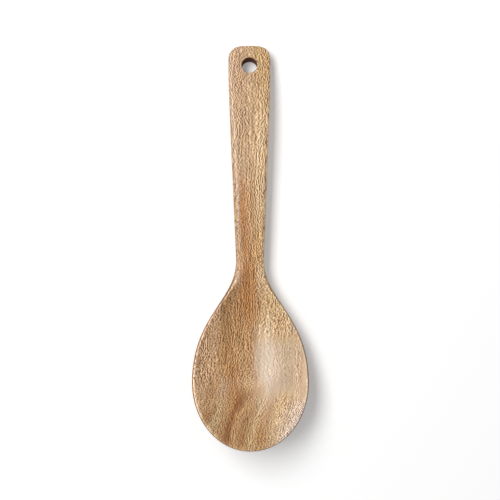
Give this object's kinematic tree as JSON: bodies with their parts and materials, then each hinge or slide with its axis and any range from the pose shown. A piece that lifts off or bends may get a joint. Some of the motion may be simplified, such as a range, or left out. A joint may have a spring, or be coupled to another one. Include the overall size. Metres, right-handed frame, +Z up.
{
  "type": "wooden spoon",
  "caption": "Carved wooden serving spoon with a deep egg-shaped bowl and a flat tapering handle with a hanging hole.",
  "frame": {"origin": "centre of the spoon's bounding box, on the surface that the spoon rests on", "axes": "+Z up, +Y along the spoon towards the handle end with the hanging hole, +X to the right"},
  "size_m": [0.072, 0.25, 0.03],
  "materials": {
    "wood": "satin oiled acacia"
  },
  "bodies": {
    "root": {"spoon": "wood"}
  },
  "joints": []
}
